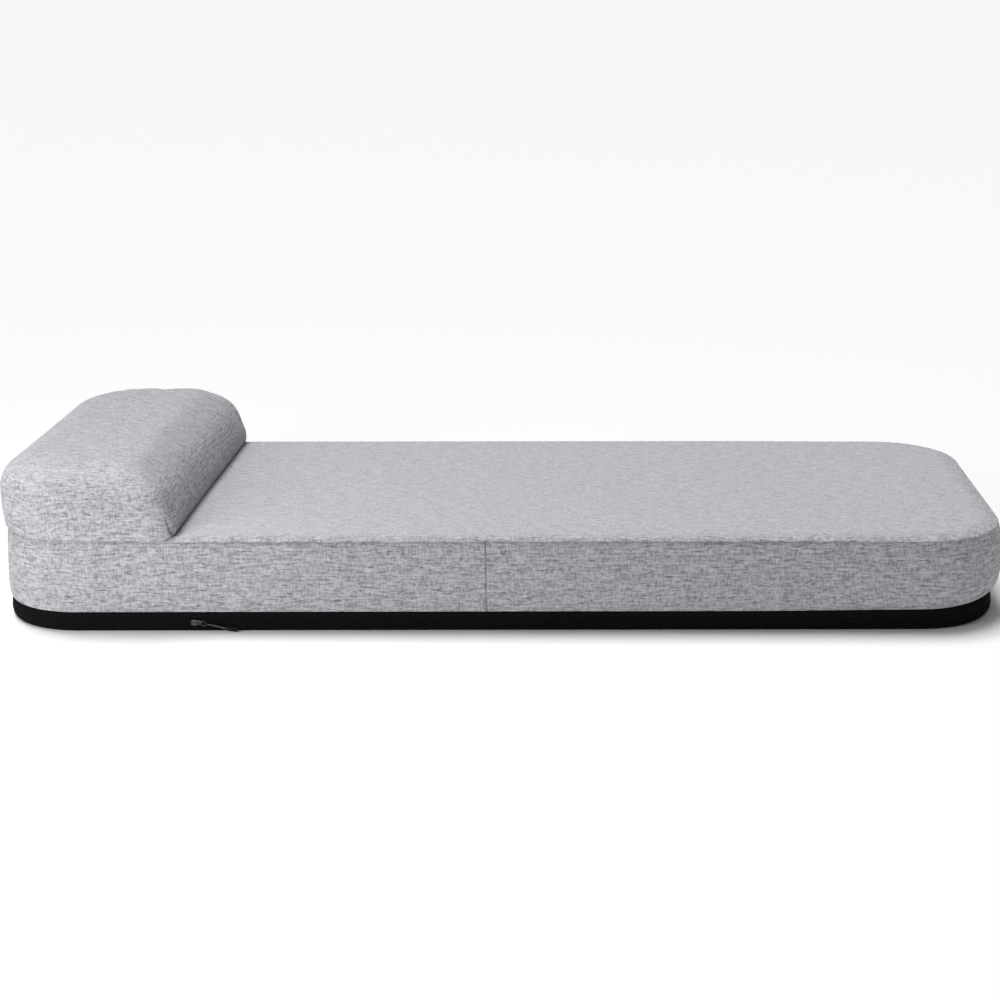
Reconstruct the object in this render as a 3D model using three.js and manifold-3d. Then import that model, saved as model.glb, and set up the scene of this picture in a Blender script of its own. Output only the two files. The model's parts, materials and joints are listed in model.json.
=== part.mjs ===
// A legless futon sofa bed: two cushioned halves on a hinged steel tube frame, a loaf-shaped bolster
// sewn on at the head end, a grey fabric cover and a black zipped base. Millimetres, +Z up.
// +X points at the foot end, the bolster is at -X, the long front side faces -Y.
// The origin is at floor level, in the middle of the footprint.
import * as THREE from "three";
import { mergeVertices } from "three/addons/utils/BufferGeometryUtils.js";
import Module from "manifold-3d";

const wasm = await Module();
wasm.setup();

// Driving dimensions
const length = 1900;
const width = 738;
const mattressTop = 186;
const seamHeight = 175;
const blackTop = 41;
const cornerRadius = 163;
const overallHeight = 315;
const bolsterLength = 352;

// The fold between the head half and the foot half
const foldX = -22;
const pivotHeight = 110;
const footEndAtTop = 60;
const footEndAtBottom = 15;
const headEndAtTop = -140;
const headEndAtBottom = -20;

// Layers from the floor up
const basePanelTop = 8;
const zipTop = 26;
const underPadTop = 34;
const tubeHeight = 45;
const supportFoamTop = 138;
const gap = 0.4;
const skin = 4;
const blackInset = 10;

// Frame
const tubeRadius = 10;
const tubeWall = 1.5;
const tubeInset = 34;
const frameRoomTop = tubeHeight + tubeRadius + 4;
const edgeFoamWidth = 18;
const plateThickness = 4;
const pinRadius = 6;
const hingeY = width / 2 - tubeInset;
const slotInward = 36;
const slotOutward = 16;
const slotReach = 150;

// Bolster edges
const bolsterHeadRadius = 65;
const bolsterFaceRadius = 95;
const bolsterSideRadius = 62;

// Zipper: two tapes with a slit between them, a slider astride the slit, and a drooping pull
const zipMiddle = (basePanelTop + zipTop) / 2;
const slitHalf = 0.8;
const tapeThickness = 1.6;
const coilHeight = 2.2;
const coilDepth = 3.2;
const sliderX = -566;
const sliderLength = 19;
const sliderHeight = 11;
const pullPinX = sliderX + sliderLength / 2;
const pullPinRadius = 0.9;
const pullDroop = [[0, 0], [9, 0], [39, -8], [70, -14]];

const headX = -length / 2;
const footX = length / 2;
const bolsterFaceX = headX + bolsterLength;

const model = new THREE.Group();

const looks = {
  greyFabric: { color: 0xa9aaae, roughness: 0.95, metalness: 0 },
  blackFabric: { color: 0x151515, roughness: 0.9, metalness: 0 },
  zipTape: { color: 0x1d1d1f, roughness: 0.7, metalness: 0 },
  foam: { color: 0xe8e2cf, roughness: 1, metalness: 0 },
  softFoam: { color: 0xf2efe6, roughness: 1, metalness: 0 },
  tube: { color: 0x2b2c2e, roughness: 0.5, metalness: 0.6 },
  webbing: { color: 0x3c3d40, roughness: 0.9, metalness: 0 },
  pin: { color: 0xb9bcc0, roughness: 0.3, metalness: 0.9 },
  zipMetal: { color: 0x84868a, roughness: 0.35, metalness: 0.9 },
  cord: { color: 0x2a2b2e, roughness: 0.9, metalness: 0 },
};

function addMesh(name, geometry, look) {
  const mesh = new THREE.Mesh(geometry, new THREE.MeshStandardMaterial(looks[look]));
  mesh.name = name;
  model.add(mesh);
}

// Closed geometry to a solid that can be cut and joined, and back
function solidOf(geometry) {
  const bare = geometry.index ? geometry.toNonIndexed() : geometry;
  bare.deleteAttribute("normal");
  bare.deleteAttribute("uv");
  const merged = mergeVertices(bare, 1e-4);
  return new wasm.Manifold(new wasm.Mesh({
    numProp: 3,
    vertProperties: new Float32Array(merged.attributes.position.array),
    triVerts: new Uint32Array(merged.index.array),
  }));
}

function geometryOf(solid) {
  const mesh = solid.getMesh();
  const geometry = new THREE.BufferGeometry();
  geometry.setAttribute("position", new THREE.BufferAttribute(mesh.vertProperties, 3));
  geometry.setIndex(new THREE.BufferAttribute(mesh.triVerts, 1));
  return geometry;
}

function boxSolid(x0, x1, y0, y1, z0, z1) {
  const box = new THREE.BoxGeometry(x1 - x0, y1 - y0, z1 - z0);
  box.translate((x0 + x1) / 2, (y0 + y1) / 2, (z0 + z1) / 2);
  return solidOf(box);
}

function shapeOf(points) {
  return new THREE.Shape(points.map(([x, y]) => new THREE.Vector2(x, y)));
}

// The whole footprint as a rounded rectangle, drawn in by inset on every side
function footprint(inset) {
  const r = cornerRadius - inset;
  const x = length / 2 - inset;
  const y = width / 2 - inset;
  const shape = new THREE.Shape();
  shape.moveTo(-x + r, -y);
  shape.lineTo(x - r, -y);
  shape.absarc(x - r, -y + r, r, -Math.PI / 2, 0);
  shape.lineTo(x, y - r);
  shape.absarc(x - r, y - r, r, 0, Math.PI / 2);
  shape.lineTo(-x + r, y);
  shape.absarc(-x + r, y - r, r, Math.PI / 2, Math.PI);
  shape.lineTo(-x, -y + r);
  shape.absarc(-x + r, -y + r, r, Math.PI, 1.5 * Math.PI);
  return shape;
}

function slab(shape, z0, z1) {
  const geometry = new THREE.ExtrudeGeometry(shape, {
    depth: z1 - z0,
    curveSegments: 8,
    bevelEnabled: false,
  });
  geometry.translate(0, 0, z0);
  return solidOf(geometry);
}

// A slab of the footprint with its top edge rounded off
function crowned(inset, z0, z1, edge) {
  const geometry = new THREE.ExtrudeGeometry(footprint(inset + edge), {
    depth: z1 - z0,
    curveSegments: 8,
    bevelThickness: edge,
    bevelSize: edge,
    bevelSegments: 2,
  });
  geometry.translate(0, 0, z0);
  return solidOf(geometry).intersect(boxSolid(-length, length, -width, width, z0, z1 + edge));
}

// A prism across the width from a side outline in x and z
function sidePrism(outline, halfWidth = width) {
  const geometry = new THREE.ExtrudeGeometry(outline, {
    depth: 2 * halfWidth,
    bevelEnabled: false,
    curveSegments: 8,
  });
  geometry.rotateX(Math.PI / 2);
  geometry.translate(0, halfWidth, 0);
  return solidOf(geometry);
}

// Where each half ends at the fold, at a height
function endAt(atBottom, atTop, z) {
  return foldX + atBottom + (atTop - atBottom) * z / mattressTop;
}

const below = -10;
const above = 400;
const regions = {
  seat: sidePrism(shapeOf([
    [endAt(footEndAtBottom, footEndAtTop, below), below],
    [length, below],
    [length, above],
    [endAt(footEndAtBottom, footEndAtTop, above), above],
  ])),
  back: sidePrism(shapeOf([
    [-length, below],
    [endAt(headEndAtBottom, headEndAtTop, below), below],
    [endAt(headEndAtBottom, headEndAtTop, above), above],
    [-length, above],
  ])),
  // The wedge between the two halves, with a clear gap to each
  fold: sidePrism(shapeOf([
    [endAt(headEndAtBottom, headEndAtTop, below) + gap, below],
    [endAt(footEndAtBottom, footEndAtTop, below) - gap, below],
    [endAt(footEndAtBottom, footEndAtTop, above) - gap, above],
    [endAt(headEndAtBottom, headEndAtTop, above) + gap, above],
  ])),
};

function ring(inset, thickness, z0, z1) {
  return slab(footprint(inset), z0, z1).subtract(slab(footprint(inset + thickness), z0 - 1, z1 + 1));
}

// The hinge plates and the tube ends need a slot in the foam, at each side
function hingeSlots() {
  const inner = hingeY - slotInward;
  const outer = hingeY + slotOutward;
  const rear = boxSolid(foldX - slotReach, foldX + slotReach, inner, outer, underPadTop, supportFoamTop);
  const front = boxSolid(foldX - slotReach, foldX + slotReach, -outer, -inner, underPadTop, supportFoamTop);
  return rear.add(front);
}

function tape(z0, z1, coilZ0) {
  const strip = ring(blackInset + 1, tapeThickness, z0, z1);
  return strip.add(ring(blackInset, coilDepth, coilZ0, coilZ0 + coilHeight));
}

function addBase(half) {
  const region = regions[half];
  const panel = slab(footprint(blackInset), 0, basePanelTop).intersect(region);
  addMesh(`${half}_base_panel`, geometryOf(panel), "blackFabric");
  const lower = tape(basePanelTop + gap, zipMiddle - slitHalf, zipMiddle - slitHalf - coilHeight);
  addMesh(`${half}_zip_tape_lower`, geometryOf(lower.intersect(region)), "zipTape");
  const upper = tape(zipMiddle + slitHalf, zipTop - gap, zipMiddle + slitHalf);
  addMesh(`${half}_zip_tape_upper`, geometryOf(upper.intersect(region)), "zipTape");
  const band = ring(blackInset, skin, zipTop, blackTop - gap).intersect(region);
  addMesh(`${half}_black_band`, geometryOf(band), "blackFabric");
}

function topPanel() {
  return crowned(0, seamHeight, seamHeight + 2, mattressTop - seamHeight - 2);
}

function addCover(half) {
  const region = regions[half];
  const band = ring(0, skin, blackTop, seamHeight - gap).intersect(region);
  addMesh(`${half}_side_band`, geometryOf(band), "greyFabric");
  let top = topPanel().intersect(region);
  if (half === "back") {
    top = top.intersect(boxSolid(bolsterFaceX + gap, length, -width, width, 0, overallHeight));
  }
  addMesh(`${half}_top_panel`, geometryOf(top), "greyFabric");
}

function addFoam(half) {
  const region = regions[half];
  const padInset = blackInset + skin + 12;
  addMesh(`${half}_under_pad`,
    geometryOf(slab(footprint(padInset), basePanelTop + gap, underPadTop - gap).intersect(region)), "foam");
  const coreInset = skin + gap;
  const edge = ring(coreInset, edgeFoamWidth, blackTop + gap, frameRoomTop).intersect(region);
  addMesh(`${half}_edge_foam`, geometryOf(edge.subtract(hingeSlots())), "foam");
  const support = slab(footprint(coreInset), frameRoomTop + gap, supportFoamTop - gap).intersect(region);
  addMesh(`${half}_support_foam`, geometryOf(support.subtract(hingeSlots())), "foam");
  const comfort = slab(footprint(coreInset), supportFoamTop, seamHeight - gap).intersect(region);
  addMesh(`${half}_comfort_foam`, geometryOf(comfort), "softFoam");
}

// A steel tube along a path, open at both ends
function tubeGeometry(path, steps) {
  const section = new THREE.Shape();
  section.absarc(0, 0, tubeRadius, 0, 2 * Math.PI);
  const bore = new THREE.Path();
  bore.absarc(0, 0, tubeRadius - tubeWall, 0, 2 * Math.PI, true);
  section.holes.push(bore);
  return new THREE.ExtrudeGeometry(section, { extrudePath: path, steps, curveSegments: 4 });
}

function line(a, b) {
  return new THREE.LineCurve3(new THREE.Vector3(...a), new THREE.Vector3(...b));
}

// The U of one half: along one side, round the end, back along the other side
class FrameCurve extends THREE.Curve {
  constructor(toward, start) {
    super();
    this.toward = toward;
    this.start = start * toward;
    this.r = cornerRadius - tubeInset;
    this.side = length / 2 - tubeInset - this.r - this.start;
    this.end = 2 * (hingeY - this.r);
    this.arc = this.r * Math.PI / 2;
    this.total = 2 * this.side + 2 * this.arc + this.end;
  }

  getPoint(t, target = new THREE.Vector3()) {
    const middle = this.total / 2;
    const distance = t * this.total;
    const mirrored = distance > middle;
    const s = mirrored ? this.total - distance : distance;
    let x = this.side;
    let y = hingeY;
    if (s < this.side) {
      x = s;
    } else if (s < this.side + this.arc) {
      const angle = (s - this.side) / this.r;
      x = this.side + this.r * Math.sin(angle);
      y = hingeY - this.r + this.r * Math.cos(angle);
    } else {
      x = this.side + this.r;
      y = hingeY - this.r - (s - this.side - this.arc);
    }
    const sign = mirrored ? 1 : -1;
    return target.set(this.toward * (this.start + x), sign * y, tubeHeight);
  }
}

function addFrame(half) {
  const toward = half === "seat" ? 1 : -1;
  const tubeStart = foldX + toward * 82;
  addMesh(`${half}_frame_tube`, tubeGeometry(new FrameCurve(toward, tubeStart), 36), "tube");
  const reach = hingeY - tubeRadius - gap;
  const crossPlaces = [0.28, 0.68].map((share) => tubeStart + toward * share * (length / 2 - 120));
  crossPlaces.forEach((x, i) => {
    addMesh(`${half}_cross_tube_${i + 1}`,
      tubeGeometry(line([x, -reach, tubeHeight], [x, reach, tubeHeight]), 1), "tube");
  });
  [-1, 0, 1].forEach((lane, i) => {
    const a = tubeStart + toward * 30;
    const b = toward * (length / 2 - tubeInset);
    const z = tubeHeight + tubeRadius + gap;
    addMesh(`${half}_strap_${i + 1}`, geometryOf(boxSolid(
      Math.min(a, b), Math.max(a, b), lane * 170 - 25, lane * 170 + 25, z, z + 2)), "webbing");
  });
}

// A hinge plate runs from the pivot down to its tube: a round eye, a cranked arm and a foot on the tube
function plateShape(toward) {
  const eye = 22;
  const footFrom = 62;
  const footTo = 120;
  const drop = tubeHeight - pivotHeight;
  const shape = new THREE.Shape();
  if (toward > 0) {
    shape.absarc(0, 0, eye, Math.PI / 4, Math.PI * 1.25);
    shape.lineTo(footFrom, drop - 8);
    shape.lineTo(footTo, drop - 8);
    shape.lineTo(footTo, drop + 8);
    shape.lineTo(footFrom + 6, drop + 8);
  } else {
    shape.absarc(0, 0, eye, -Math.PI / 4, Math.PI * 0.75);
    shape.lineTo(-footFrom - 6, drop + 8);
    shape.lineTo(-footTo, drop + 8);
    shape.lineTo(-footTo, drop - 8);
    shape.lineTo(-footFrom, drop - 8);
  }
  const bore = new THREE.Path();
  bore.absarc(0, 0, pinRadius + 0.15, 0, 2 * Math.PI, true);
  shape.holes.push(bore);
  return shape;
}

function addHinge(side, label) {
  const inner = hingeY - tubeRadius - gap - plateThickness;
  const plates = [["seat", 1, inner], ["back", -1, inner - plateThickness - 1]];
  for (const [half, toward, from] of plates) {
    const geometry = new THREE.ExtrudeGeometry(plateShape(toward), {
      depth: plateThickness,
      bevelEnabled: false,
      curveSegments: 8,
    });
    geometry.rotateX(Math.PI / 2);
    const y = side > 0 ? from + plateThickness : -from;
    geometry.translate(foldX, y, pivotHeight);
    addMesh(`${half}_hinge_plate_${label}`, geometry, "tube");
  }
  const pin = new THREE.CylinderGeometry(pinRadius, pinRadius, 3 * plateThickness + 4, 12);
  pin.translate(foldX, side * (inner - 1), pivotHeight);
  addMesh(`pivot_pin_${label}`, pin, "pin");
}

// The loaf of the bolster, drawn in by inset all round: its side outline, its end outline and the
// rounded corners of the footprint, all three in one
function loaf(inset, bottom) {
  const x0 = headX + inset;
  const x1 = bolsterFaceX - inset;
  const top = overallHeight - inset;
  const headRadius = bolsterHeadRadius - inset;
  const faceRadius = bolsterFaceRadius - inset;
  const sideOutline = new THREE.Shape();
  sideOutline.moveTo(x0, bottom);
  sideOutline.lineTo(x1, bottom);
  sideOutline.absarc(x1 - faceRadius, top - faceRadius, faceRadius, 0, Math.PI / 2);
  sideOutline.absarc(x0 + headRadius, top - headRadius, headRadius, Math.PI / 2, Math.PI);
  const y = width / 2 - inset;
  const r = bolsterSideRadius - inset;
  const endOutline = new THREE.Shape();
  endOutline.moveTo(-y, bottom);
  endOutline.lineTo(y, bottom);
  endOutline.absarc(y - r, top - r, r, 0, Math.PI / 2);
  endOutline.absarc(-y + r, top - r, r, Math.PI / 2, Math.PI);
  const endGeometry = new THREE.ExtrudeGeometry(endOutline, {
    depth: 2 * length,
    bevelEnabled: false,
    curveSegments: 8,
  });
  endGeometry.rotateX(Math.PI / 2);
  endGeometry.rotateZ(Math.PI / 2);
  endGeometry.translate(-length, 0, 0);
  return sidePrism(sideOutline)
    .intersect(solidOf(endGeometry))
    .intersect(slab(footprint(inset), bottom, overallHeight + 1));
}

function addBolster() {
  const shell = loaf(0, seamHeight).subtract(loaf(skin, seamHeight - 1));
  addMesh("bolster_cover", geometryOf(shell), "greyFabric");
  addMesh("bolster_core", geometryOf(loaf(skin + gap, seamHeight)), "softFoam");
}

// What spans the fold: a foam wedge and a strip of each layer of the cover
function addFoldPieces() {
  const region = regions.fold;
  const wedgeHalf = hingeY - slotInward - gap;
  const wedge = boxSolid(-length, length, -wedgeHalf, wedgeHalf, blackTop + gap, seamHeight - gap);
  addMesh("fold_foam", geometryOf(wedge.intersect(region)), "softFoam");
  addMesh("fold_top_strip", geometryOf(topPanel().intersect(region)), "greyFabric");
  const panel = slab(footprint(blackInset), 0, basePanelTop).intersect(region);
  addMesh("fold_base_strip", geometryOf(panel), "blackFabric");
  for (const [label, y0, y1] of [["front", -width, 0], ["rear", 0, width]]) {
    const side = boxSolid(-length, length, y0, y1, 0, overallHeight);
    const band = ring(0, skin, blackTop, seamHeight - gap).intersect(region).intersect(side);
    addMesh(`fold_side_band_${label}`, geometryOf(band), "greyFabric");
    const black = ring(blackInset, skin, basePanelTop + gap, blackTop - gap);
    addMesh(`fold_black_band_${label}`, geometryOf(black.intersect(region).intersect(side)), "blackFabric");
  }
}

// The slider: a front and a back plate joined by a thin neck through the slit, two ears and a pin
function addSlider() {
  const front = -width / 2 + blackInset;
  const z0 = zipMiddle - sliderHeight / 2;
  const z1 = zipMiddle + sliderHeight / 2;
  const x0 = sliderX - sliderLength / 2;
  const x1 = sliderX + sliderLength / 2 - 1;
  const plateFront = front - gap - 2.4;
  const backPlate = front + coilDepth + gap;
  const pinY = plateFront - 2.8;
  let slider = boxSolid(x0, x1, plateFront, front - gap, z0, z1);
  slider = slider.add(boxSolid(x0, x1, backPlate, backPlate + 1.8, z0, z1));
  slider = slider.add(boxSolid(x0, x0 + 4, front - gap - 1, backPlate + 1, zipMiddle - 0.5, zipMiddle + 0.5));
  for (const side of [-1, 1]) {
    const earMiddle = zipMiddle + side * 3.4;
    slider = slider.add(boxSolid(
      pullPinX - 6, pullPinX + 1.4, pinY - 1.4, plateFront + 1, earMiddle - 0.8, earMiddle + 0.8));
  }
  const pin = new THREE.CylinderGeometry(pullPinRadius, pullPinRadius, 7.2, 10);
  pin.rotateX(Math.PI / 2);
  pin.translate(pullPinX, pinY, zipMiddle);
  addMesh("zip_slider", geometryOf(slider.add(solidOf(pin))), "zipMetal");
  return pinY;
}

// The pull: an eye round the slider's pin, a link and a stitched cord that droops to the floor
function addPull(pinY) {
  const eye = new THREE.CylinderGeometry(2.1, 2.1, 4.2, 14);
  eye.rotateX(Math.PI / 2);
  eye.translate(pullPinX, pinY, zipMiddle);
  const bore = new THREE.CylinderGeometry(pullPinRadius + 0.15, pullPinRadius + 0.15, 20, 10);
  bore.rotateX(Math.PI / 2);
  bore.translate(pullPinX, pinY, zipMiddle);
  const half = 2.1;
  const upper = pullDroop.map(([x, z]) => [pullPinX + x, zipMiddle + z + half]);
  const lower = pullDroop.map(([x, z]) => [pullPinX + x, zipMiddle + z - half]).reverse();
  const tail = sidePrism(shapeOf([...upper, ...lower]), 1.5).translate([0, pinY, 0]);
  addMesh("zip_pull", geometryOf(tail.add(solidOf(eye)).subtract(solidOf(bore))), "cord");
}

addBase("seat");
addCover("seat");
addFoam("seat");
addFrame("seat");
addBase("back");
addCover("back");
addFoam("back");
addFrame("back");
addHinge(-1, "front");
addHinge(1, "rear");
addBolster();
addFoldPieces();
addPull(addSlider());

export default model;
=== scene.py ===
# Legless futon sofa bed lying flat: grey melange cover, loaf-shaped bolster, black zipped base.
# Metres, +X towards the foot end, -Y is the side with the zip pull.
import json
import math

import bmesh
import bpy
import numpy as np
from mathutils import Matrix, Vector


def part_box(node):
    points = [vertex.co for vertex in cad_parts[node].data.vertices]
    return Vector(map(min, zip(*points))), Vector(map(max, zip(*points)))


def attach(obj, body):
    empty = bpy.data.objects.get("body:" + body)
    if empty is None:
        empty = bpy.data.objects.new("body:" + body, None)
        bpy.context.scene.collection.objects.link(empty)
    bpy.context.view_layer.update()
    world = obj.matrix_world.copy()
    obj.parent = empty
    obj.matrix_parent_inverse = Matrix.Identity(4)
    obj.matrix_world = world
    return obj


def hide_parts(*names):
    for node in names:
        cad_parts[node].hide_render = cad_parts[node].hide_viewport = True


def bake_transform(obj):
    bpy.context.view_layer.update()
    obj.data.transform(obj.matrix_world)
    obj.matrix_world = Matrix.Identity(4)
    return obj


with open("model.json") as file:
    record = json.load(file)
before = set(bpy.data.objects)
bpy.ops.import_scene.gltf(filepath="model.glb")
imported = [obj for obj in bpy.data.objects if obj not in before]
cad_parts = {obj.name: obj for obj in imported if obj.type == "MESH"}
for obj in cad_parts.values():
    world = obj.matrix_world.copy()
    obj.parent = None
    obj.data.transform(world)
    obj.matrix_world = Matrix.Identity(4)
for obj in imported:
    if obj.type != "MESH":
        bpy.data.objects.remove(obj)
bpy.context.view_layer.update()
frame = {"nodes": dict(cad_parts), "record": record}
nodes = frame["nodes"]
print("frame loaded:", len(nodes), "nodes")

# the bed's main sizes, read from the frame, all but the corner radius, which is given
bandBox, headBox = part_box("seat_side_band"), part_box("back_side_band")
bolsterBox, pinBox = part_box("bolster_cover"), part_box("pivot_pin_front")
bed = {
    "headX": headBox[0][0],
    "footX": bandBox[1][0],
    "halfWidth": bandBox[1][1],
    "bandLow": bandBox[0][2],
    "seam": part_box("seat_top_panel")[0][2],
    "top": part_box("seat_top_panel")[1][2],
    "cornerRadius": 0.163,
    "foldX": (pinBox[0][0] + pinBox[1][0]) / 2,
    "bolsterX": bolsterBox[1][0],
    "bolsterTop": bolsterBox[1][2],
    "baseInset": bandBox[1][1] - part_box("seat_black_band")[1][1],
    "zipZ": (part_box("zip_slider")[0][2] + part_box("zip_slider")[1][2]) / 2,
}


def makeCamera():
    shot = {"place": (0.189, -3.5246, 1.1761), "tiltDown": 0.2737, "yaw": -0.0051, "lens": 64.77,
            "shiftX": -0.1091, "shiftY": -0.0176}
    data = bpy.data.cameras.new("camera")
    data.lens = shot["lens"]
    data.sensor_width = 36
    data.shift_x = shot["shiftX"]
    data.shift_y = shot["shiftY"]
    camera = bpy.data.objects.new("camera", data)
    camera.location = shot["place"]
    camera.rotation_euler = (math.pi / 2 - shot["tiltDown"], 0, shot["yaw"])
    bpy.context.collection.objects.link(camera)
    bpy.context.scene.camera = camera


def makeLights():
    # a broad sun high behind the bed whitens the floor; a close lamp off the head end lights the near side
    # name: place, aim, disk size, watts
    lamps = {
        "key": ((-1.3, -1.3, 0.8), (-0.7, -0.3, 0.1), 0.8, 10.5),
        "front": ((-1.2, -3.0, 0.9), (-0.5, -0.3, 0.1), 1.0, 1.8),
    }
    for name, (place, aim, size, watts) in lamps.items():
        data = bpy.data.lights.new(name, "AREA")
        data.shape = "DISK"
        data.size = size
        data.energy = watts
        turnLamp(name, data, place, aim)
    sunlight = {"strength": 2.6, "spread": 0.5, "place": (-0.45, 0.5, 2.4)}
    data = bpy.data.lights.new("sun", "SUN")
    data.energy = sunlight["strength"]
    data.angle = sunlight["spread"]
    turnLamp("sun", data, sunlight["place"], (0, 0, 0))
    world = bpy.data.worlds.new("studio")
    world.use_nodes = True
    backdrop = world.node_tree.nodes["Background"]
    backdrop.inputs["Color"].default_value = (1, 1, 1, 1)
    backdrop.inputs["Strength"].default_value = 0.22
    bpy.context.scene.world = world
    bpy.context.scene.view_settings.view_transform = "Standard"


def turnLamp(name, data, place, aim):
    lamp = bpy.data.objects.new(name, data)
    lamp.location = place
    x, y, z = np.array(aim) - np.array(place)
    lamp.rotation_euler = (math.atan2(math.hypot(x, y), -z), 0, math.atan2(-x, y))
    bpy.context.collection.objects.link(lamp)


class Wire:
    # a shader socket that can be used in sums: each operator adds a Math node

    def __init__(self, look, socket):
        self.look = look
        self.socket = socket

    def calculate(self, operation, a, b=0.0):
        return self.look.add("Math", {"operation": operation}, {0: a, 1: b})

    def __add__(self, other):
        return self.calculate("ADD", self, other)

    def __sub__(self, other):
        return self.calculate("SUBTRACT", self, other)

    def __rsub__(self, other):
        return self.calculate("SUBTRACT", other, self)

    def __mul__(self, other):
        return self.calculate("MULTIPLY", self, other)

    __radd__ = __add__
    __rmul__ = __mul__

    def sine(self):
        return self.calculate("SINE", self)

    def floor(self):
        return self.calculate("FLOOR", self)

    def ramp(self, low, high, toLow=0.0, toHigh=1.0):
        return self.look.add("MapRange", {"interpolation_type": "SMOOTHSTEP"},
                             {"Value": self, "From Min": low, "From Max": high,
                              "To Min": toLow, "To Max": toHigh})


class Look:
    # one material; add() makes a node from its type, its settings and the values or links of its sockets

    def __init__(self, name, **surface):
        self.material = bpy.data.materials.new(name)
        self.material.use_nodes = True
        self.tree = self.material.node_tree
        self.shader = self.tree.nodes["Principled BSDF"]
        self.put(self.shader, {key.replace("_", " "): value for key, value in surface.items()})

    def add(self, kind, settings, inputs, output=0):
        node = self.tree.nodes.new("ShaderNode" + kind)
        for key, value in settings.items():
            setattr(node, key, value)
        self.put(node, inputs)
        return Wire(self, node.outputs[output])

    def put(self, node, inputs):
        for key, value in inputs.items():
            if isinstance(value, Wire):
                self.tree.links.new(value.socket, node.inputs[key])
            else:
                node.inputs[key].default_value = value

    def place(self):
        return self.add("TexCoord", {}, {}, "Object")

    def cloth(self, name):
        # the piece's own cloth coordinates: along the weft, along the warp
        return self.add("UVMap", {"uv_map": name}, {}, "UV")

    def value(self, name):
        return self.add("Attribute", {"attribute_name": name}, {}, "Fac")

    def part(self, vector, axis):
        return self.add("SeparateXYZ", {}, {0: vector}, axis)

    def stretched(self, vector, scale):
        return self.add("VectorMath", {"operation": "MULTIPLY"}, {0: vector, 1: scale}, "Vector")

    def noise(self, vector, scale=1.0, detail=2.0, roughness=0.5):
        return self.add("TexNoise", {}, {"Vector": vector, "Scale": scale, "Detail": detail,
                                         "Roughness": roughness}, "Fac")

    def mix(self, factor, a, b):
        return self.add("Mix", {"data_type": "RGBA"}, {0: factor, 6: a, 7: b}, 2)

    def bump(self, height, distance, strength=1.0):
        return self.add("Bump", {}, {"Height": height, "Distance": distance, "Strength": strength}, "Normal")

    def finish(self, color, **links):
        self.put(self.shader, {"Base Color": color})
        self.put(self.shader, links)
        return self.material


greyTint = (0.990, 1.0, 1.060)     # a trace of blue in every grey


def grey(value):
    return tuple(value * share for share in greyTint) + (1,)


def makeMelange():
    # linen-look melange: long thin weft lines, short warp lines, blotches, dark slubs; close up, each yarn
    # has a tone of its own and the two sets of yarns cross over and under
    # lift is the painted light on faces that look up; seam is the near black of painted shade in seams and
    # creases
    yarn = {"weftLong": 32, "weftFine": 225, "warpLong": 60, "warpFine": 330, "blotch": (120, 200, 1),
            "slubLong": 42, "slubFine": 230, "patch": (30, 52, 1), "pitch": 0.0011, "pale": 0.565,
            "middle": 0.210, "dark": 0.07, "darkShare": 0.55, "calm": 0.42, "lift": 0.07, "seam": 0.04,
            "toneSpan": (0.18, 0.76), "slubSpan": (0.56, 0.68), "patchSpan": (0.38, 0.60),
            "bumpDepth": 0.0008}
    # how much each pattern counts in the tone; the threads vary round nought, the others round a half
    counts = {"weft": 0.66, "warp": 0.56, "blotch": 0.58, "patch": 0.30, "threads": 0.22}
    middleTone = (counts["weft"] + counts["warp"] + counts["blotch"] + counts["patch"]) / 2
    look = Look("greyMelange", Roughness=0.95, Specular_IOR_Level=0.2, Sheen_Weight=0.12, Sheen_Roughness=0.5)
    up = look.value("facesUp")
    facing = look.value("facesEnd")
    perMetre = 1 / yarn["pitch"]

    def weave(uv):
        u, v = look.part(uv, "X"), look.part(uv, "Y")
        weft = look.noise(look.stretched(uv, (yarn["weftLong"], yarn["weftFine"], 1)), 1, 2.0, 0.6)
        warp = look.noise(look.stretched(uv, (yarn["warpFine"], yarn["warpLong"], 1)), 1, 2.0, 0.6)
        blotch = look.noise(look.stretched(uv, yarn["blotch"]), 1, 2.0, 0.6)
        slub = look.noise(look.stretched(uv, (yarn["slubLong"], yarn["slubFine"], 1)), 1, 1.0, 0.5)
        row = look.add("CombineXYZ", {}, {"X": u * 70, "Y": (v * perMetre).floor() * 3.7}, "Vector")
        column = look.add("CombineXYZ", {}, {"X": v * 90, "Y": (u * perMetre).floor() * 3.7, "Z": 9.0},
                          "Vector")
        threads = look.noise(row) + look.noise(column) - 1
        cross = (u * perMetre * math.pi).sine() * (v * perMetre * math.pi).sine()
        return weft, warp, blotch, slub, threads, cross

    flat, turned = weave(look.cloth("weave")), weave(look.cloth("weaveEnd"))
    weft, warp, blotch, slub, threads, cross = [a + (b - a) * facing for a, b in zip(flat, turned)]
    patch = look.noise(look.stretched(look.cloth("weave"), yarn["patch"]), 1, 2.0)
    calm = 1 - up * yarn["calm"]
    tone = (weft * counts["weft"] + warp * counts["warp"] + blotch * counts["blotch"]
            + patch * counts["patch"] + threads * counts["threads"] - middleTone) * calm + 0.5
    # painted light: faces that look up get a lighter tone, as if lit from above
    tone = tone + up * yarn["lift"]
    body = look.mix(tone.ramp(*yarn["toneSpan"]), grey(yarn["middle"]), grey(yarn["pale"]))
    darkYarn = slub.ramp(*yarn["slubSpan"]) * patch.ramp(*yarn["patchSpan"]) * calm
    body = look.mix(darkYarn * yarn["darkShare"], body, grey(yarn["dark"]))
    # painted shade: seams, grooves and creases are darkened towards near black where seamShade is set
    body = look.mix(look.value("seamShade"), body, grey(yarn["seam"]))
    height = weft * 0.5 + warp * 0.35 + threads * 0.3 + cross * 0.10 - darkYarn * 0.3
    return look.finish(body, Normal=look.bump(height, yarn["bumpDepth"], 0.8))


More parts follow.
